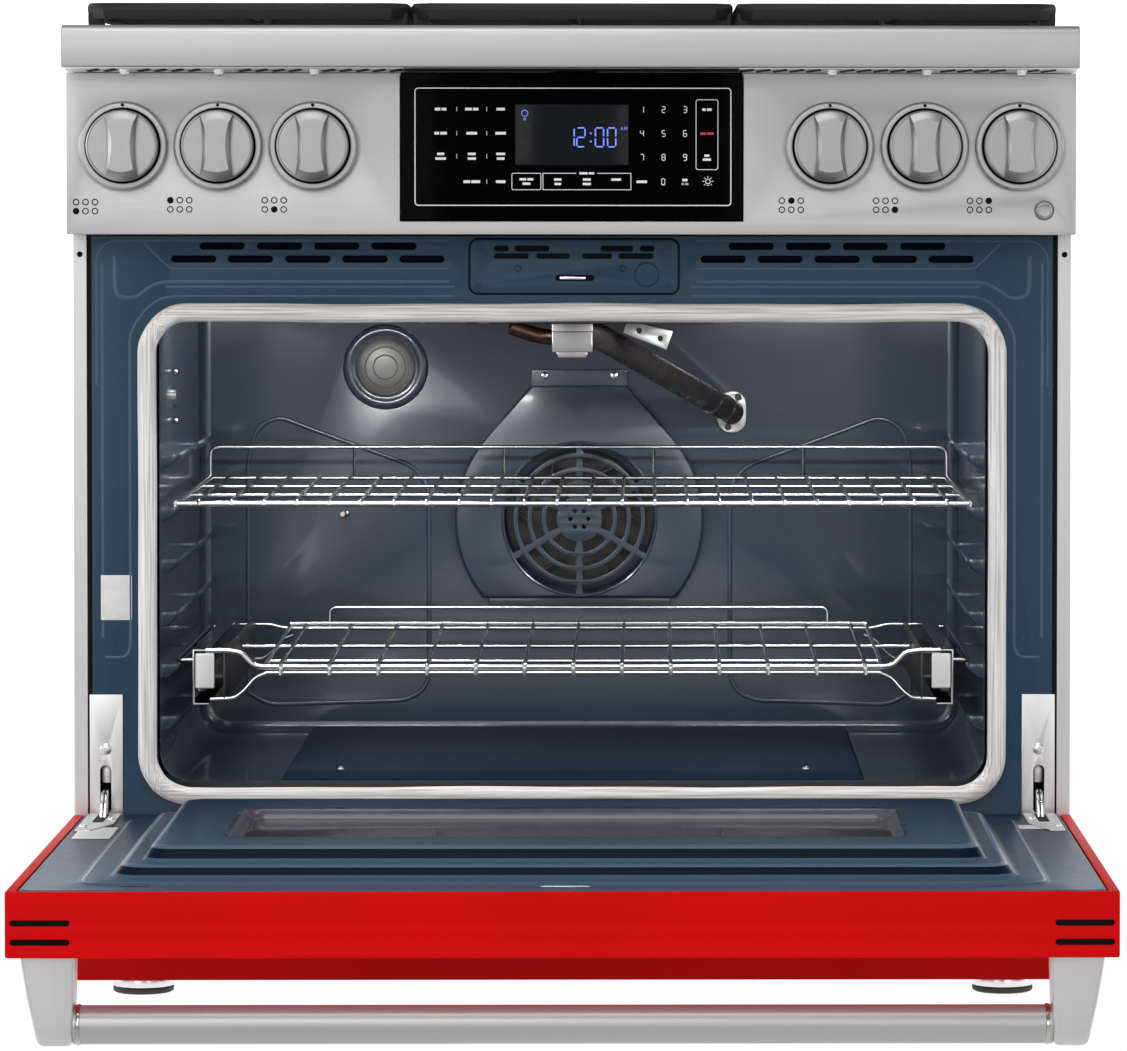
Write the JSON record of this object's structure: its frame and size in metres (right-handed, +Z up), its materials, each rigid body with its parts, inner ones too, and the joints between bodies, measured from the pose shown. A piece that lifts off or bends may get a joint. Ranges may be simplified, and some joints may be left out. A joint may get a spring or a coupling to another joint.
{
  "type": "gas range",
  "caption": "Freestanding gas range with a drop-down oven door stored open, sliding oven racks, push-and-turn burner knobs and a tilting touch panel.",
  "frame": {"origin": "on the floor, under the middle of the whole object with its door open", "axes": "+X to the right of someone facing the range, +Y to its back, +Z up"},
  "size_m": [0.91, 1.1904, 0.915],
  "materials": {
    "stainless": "brushed stainless steel",
    "chrome": "bright plated steel",
    "red_enamel": "satin red coating on steel",
    "blue_enamel": "glossy blue porcelain enamel on steel",
    "cavity_enamel": "glossy dark blue porcelain enamel on steel",
    "dark_steel": "heat-darkened steel",
    "galvanised": "zinc-coated steel sheet",
    "cast_iron": "matt black enamelled cast iron",
    "black_glass": "gloss black backed glass",
    "clear_glass": "clear tempered glass",
    "outer_glass": "dark tinted tempered glass",
    "brass": "plain brass",
    "fibreglass": "woven off-white glass-fibre seal",
    "lamp_glass": "ribbed lamp glass in a metal ring"
  },
  "bodies": {
    "range_body": {"back_panel": "galvanised", "bake_burner": "dark_steel", "base_frame": "galvanised", "broil_burner": "dark_steel", "bullnose": "stainless", "burner_front_left": "cast_iron", "burner_front_middle": "cast_iron", "burner_front_right": "cast_iron", "burner_rear_left": "cast_iron", "burner_rear_middle": "cast_iron", "burner_rear_right": "cast_iron", "control_panel": "stainless", "cooktop_tray": "stainless", "fan_cover": "cavity_enamel", "fan_motor": "galvanised", "front_frame": "blue_enamel", "gas_manifold": "brass", "glide_rail_left": "dark_steel", "glide_rail_right": "dark_steel", "grate_left": "cast_iron", "grate_middle": "cast_iron", "grate_right": "cast_iron", "hinge_receiver_left": "galvanised", "hinge_receiver_right": "galvanised", "kick_panel": "red_enamel", "leg_front_left": "chrome", "leg_front_right": "chrome", "leg_rear_left": "chrome", "leg_rear_right": "chrome", "oven_cavity": "cavity_enamel", "oven_floor_cover": "cavity_enamel", "oven_gasket": "fibreglass", "oven_lamp": "lamp_glass", "side_panel_left": "stainless", "side_panel_right": "stainless"},
    "door": {"door_glass": "clear_glass", "door_handle": "stainless", "door_hinge_left": "galvanised", "door_hinge_right": "galvanised", "door_liner": "blue_enamel", "door_outer_glass": "outer_glass", "door_skin": "red_enamel"},
    "upper_rack": {"upper_rack": "chrome"},
    "lower_rack": {"lower_rack": "chrome"},
    "touch_panel": {"touch_panel": "black_glass"},
    "door_latch": {"door_latch": "galvanised"},
    "convection_fan": {"convection_fan": "dark_steel"},
    "light_button": {"light_button": "stainless"},
    "stem_1": {"valve_stem_1": "brass"},
    "knob_1": {"knob_1": "stainless"},
    "stem_2": {"valve_stem_2": "brass"},
    "knob_2": {"knob_2": "stainless"},
    "stem_3": {"valve_stem_3": "brass"},
    "knob_3": {"knob_3": "stainless"},
    "stem_4": {"valve_stem_4": "brass"},
    "knob_4": {"knob_4": "stainless"},
    "stem_5": {"valve_stem_5": "brass"},
    "knob_5": {"knob_5": "stainless"},
    "stem_6": {"valve_stem_6": "brass"},
    "knob_6": {"knob_6": "stainless"}
  },
  "joints": [
    {"name": "oven_door", "type": "hinge", "parent": "range_body", "child": "door", "pos_m": [0, -0.0497, 0.1455], "axis": [1, 0, 0], "range_deg": [-90, 0]},
    {"name": "upper_rack_slide", "type": "slide", "parent": "range_body", "child": "upper_rack", "axis": [0, -1, 0], "range_m": [0, 0.3]},
    {"name": "lower_rack_slide", "type": "slide", "parent": "range_body", "child": "lower_rack", "axis": [0, -1, 0], "range_m": [0, 0.3]},
    {"name": "touch_panel_tilt", "type": "hinge", "parent": "range_body", "child": "touch_panel", "pos_m": [0, -0.0648, 0.838], "axis": [-1, 0, 0], "range_deg": [0, 35]},
    {"name": "door_latch_slide", "type": "slide", "parent": "range_body", "child": "door_latch", "axis": [0, -1, 0], "range_m": [0, 0.018]},
    {"name": "convection_fan_spin", "type": "hinge", "parent": "range_body", "child": "convection_fan", "pos_m": [0, 0.5052, 0.41], "axis": [0, -1, 0], "continuous": true},
    {"name": "light_button_push", "type": "slide", "parent": "range_body", "child": "light_button", "axis": [0, 1, 0], "range_m": [0, 0.0015], "stiffness_N_per_m": 500},
    {"name": "knob_1_push", "type": "slide", "parent": "range_body", "child": "stem_1", "axis": [0, 1, 0], "range_m": [0, 0.003], "stiffness_N_per_m": 700},
    {"name": "knob_1_turn", "type": "hinge", "parent": "stem_1", "child": "knob_1", "pos_m": [-0.4035, -0.0848, 0.7785], "axis": [0, -1, 0], "range_deg": [0, 240]},
    {"name": "knob_2_push", "type": "slide", "parent": "range_body", "child": "stem_2", "axis": [0, 1, 0], "range_m": [0, 0.003], "stiffness_N_per_m": 700},
    {"name": "knob_2_turn", "type": "hinge", "parent": "stem_2", "child": "knob_2", "pos_m": [-0.3181, -0.0848, 0.7785], "axis": [0, -1, 0], "range_deg": [0, 240]},
    {"name": "knob_3_push", "type": "slide", "parent": "range_body", "child": "stem_3", "axis": [0, 1, 0], "range_m": [0, 0.003], "stiffness_N_per_m": 700},
    {"name": "knob_3_turn", "type": "hinge", "parent": "stem_3", "child": "knob_3", "pos_m": [-0.2327, -0.0848, 0.7785], "axis": [0, -1, 0], "range_deg": [0, 240]},
    {"name": "knob_4_push", "type": "slide", "parent": "range_body", "child": "stem_4", "axis": [0, 1, 0], "range_m": [0, 0.003], "stiffness_N_per_m": 700},
    {"name": "knob_4_turn", "type": "hinge", "parent": "stem_4", "child": "knob_4", "pos_m": [0.2327, -0.0848, 0.7785], "axis": [0, -1, 0], "range_deg": [0, 240]},
    {"name": "knob_5_push", "type": "slide", "parent": "range_body", "child": "stem_5", "axis": [0, 1, 0], "range_m": [0, 0.003], "stiffness_N_per_m": 700},
    {"name": "knob_5_turn", "type": "hinge", "parent": "stem_5", "child": "knob_5", "pos_m": [0.3181, -0.0848, 0.7785], "axis": [0, -1, 0], "range_deg": [0, 240]},
    {"name": "knob_6_push", "type": "slide", "parent": "range_body", "child": "stem_6", "axis": [0, 1, 0], "range_m": [0, 0.003], "stiffness_N_per_m": 700},
    {"name": "knob_6_turn", "type": "hinge", "parent": "stem_6", "child": "knob_6", "pos_m": [0.4035, -0.0848, 0.7785], "axis": [0, -1, 0], "range_deg": [0, 240]}
  ]
}
